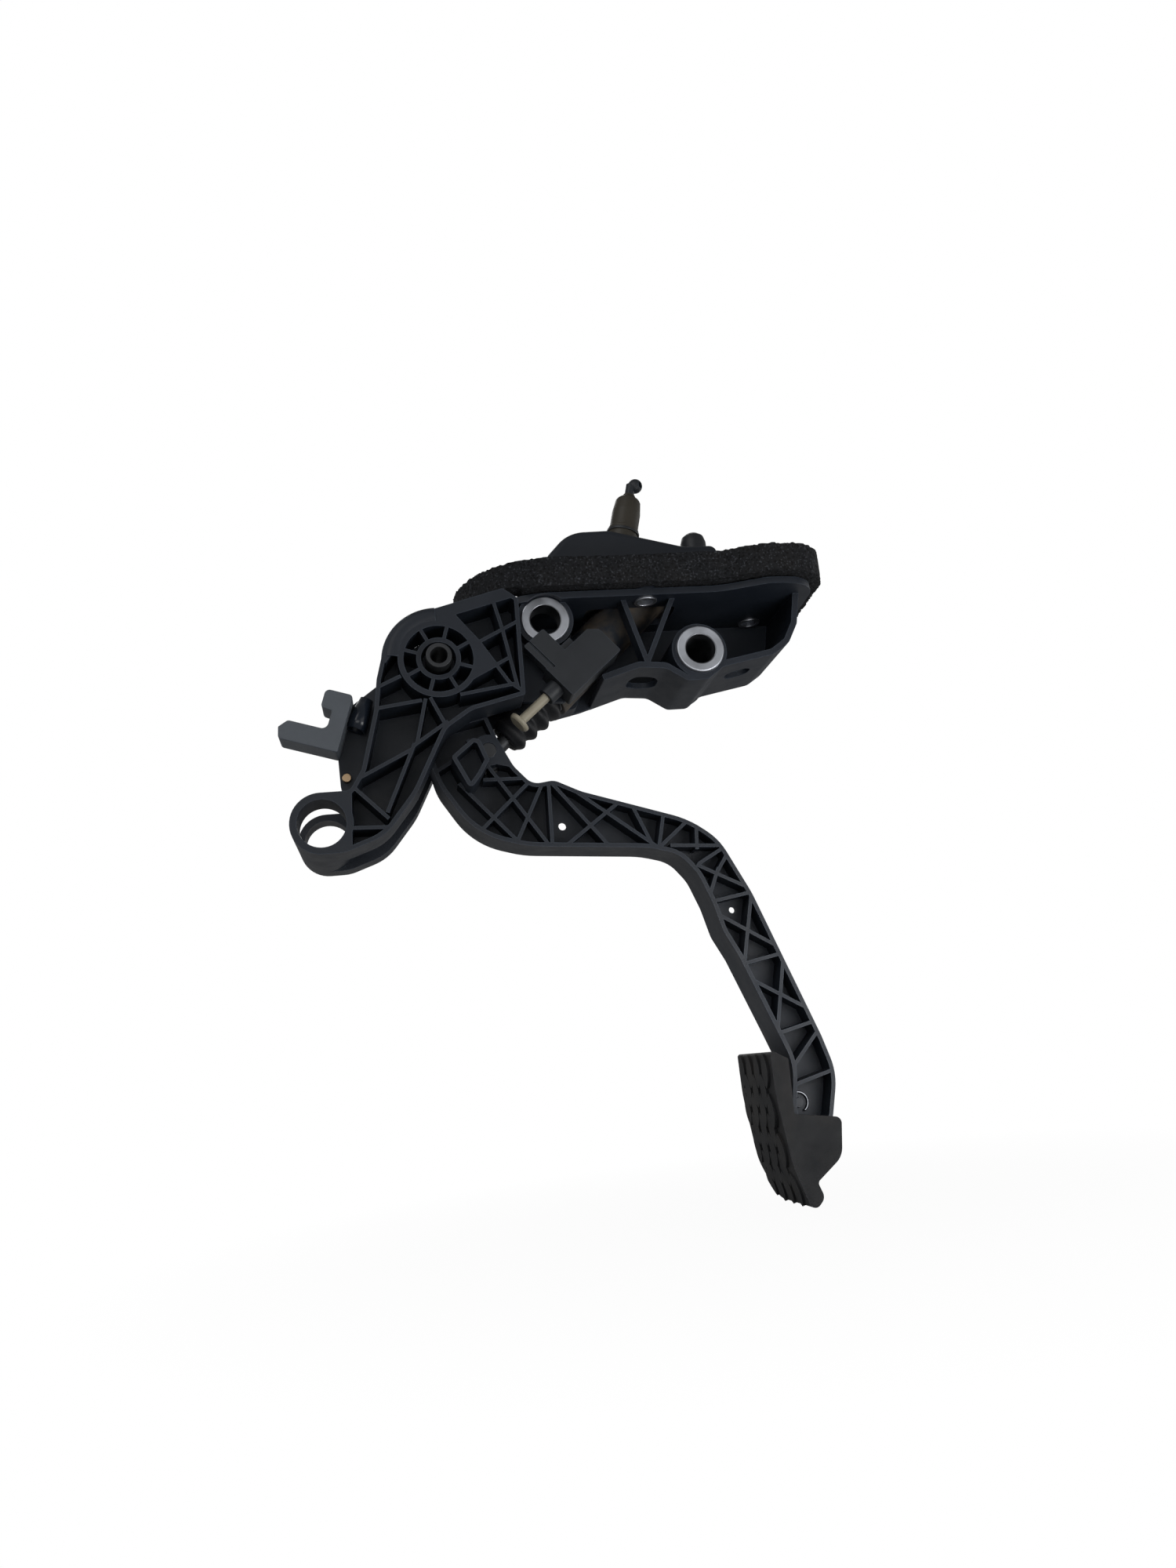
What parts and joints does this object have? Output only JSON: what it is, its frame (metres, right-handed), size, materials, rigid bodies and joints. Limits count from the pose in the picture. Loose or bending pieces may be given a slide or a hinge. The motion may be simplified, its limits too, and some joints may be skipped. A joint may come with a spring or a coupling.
{
  "type": "clutch pedal",
  "caption": "Hanging car clutch pedal: ribbed plastic bracket and arm, rubber pad, clutch master cylinder with boot, foam firewall seal, pedal switch and position sensor.",
  "frame": {"origin": "centre of the two firewall studs on the firewall face, where the sleeve ends meet it", "axes": "+Z through the firewall to the engine side, +Y along the pivot axle away from the side that carries the switch, +X from the pivot towards the studs"},
  "size_m": [0.2841, 0.1066, 0.3863],
  "materials": {
    "black_nylon": "satin glass-filled nylon",
    "cylinder_nylon": "satin moulded nylon",
    "black_foam": "open-pored foam",
    "zinc_steel": "zinc plated",
    "dark_steel": "black phosphated",
    "piston_plastic": "moulded",
    "black_rubber": "matt rubber",
    "bush_plastic": "self-lubricating plastic",
    "switch_plastic": "fine satin",
    "cream_plastic": "satin",
    "slate_plastic": "fine satin",
    "brass": "turned",
    "olive_plastic": "satin"
  },
  "bodies": {
    "bracket": {"pedal_bracket": "black_nylon", "foam_seal": "black_foam", "stud_sleeves": "zinc_steel", "cross_bush_left": "zinc_steel", "cross_bush_right": "zinc_steel", "pivot_axle": "dark_steel", "axle_clip": "dark_steel", "cylinder_body": "cylinder_nylon", "stop_ring": "zinc_steel", "line_connector": "olive_plastic", "connector_clip": "zinc_steel", "line_elbow": "switch_plastic", "feed_nipple": "switch_plastic", "switch_body": "switch_plastic", "switch_guide": "switch_plastic", "sensor_housing": "slate_plastic", "sensor_insert": "brass", "rod_boot": "black_rubber"},
    "pedal": {"pedal_arm": "black_nylon", "pedal_pad": "black_rubber", "hub_bush_near": "bush_plastic", "hub_bush_far": "bush_plastic", "rod_pin": "zinc_steel"},
    "rod": {"push_rod": "zinc_steel", "piston": "piston_plastic", "primary_seal": "black_rubber", "secondary_seal": "black_rubber"},
    "plunger": {"switch_plunger": "cream_plastic"}
  },
  "joints": [
    {"name": "pedal_press", "type": "hinge", "parent": "bracket", "child": "pedal", "pos_m": [-0.142, 0, -0.044], "axis": [0, -1, 0], "range_deg": [0, 30], "stiffness_Nm_per_rad": 8, "springref_deg": -22.92},
    {"name": "rod_slide", "type": "slide", "parent": "bracket", "child": "rod", "axis": [0.7361, 0, 0.6769], "range_m": [0, 0.02456], "deforming": ["rod_boot"]},
    {"name": "switch_press", "type": "slide", "parent": "bracket", "child": "plunger", "axis": [0.766, 0, 0.6428], "range_m": [0, 0.00541]}
  ],
  "couplings": [
    {"joint": "rod_slide", "follows": "pedal_press", "m_per_rad": 0.04686},
    {"joint": "switch_press", "follows": "pedal_press", "m_per_rad": 0.010313}
  ]
}
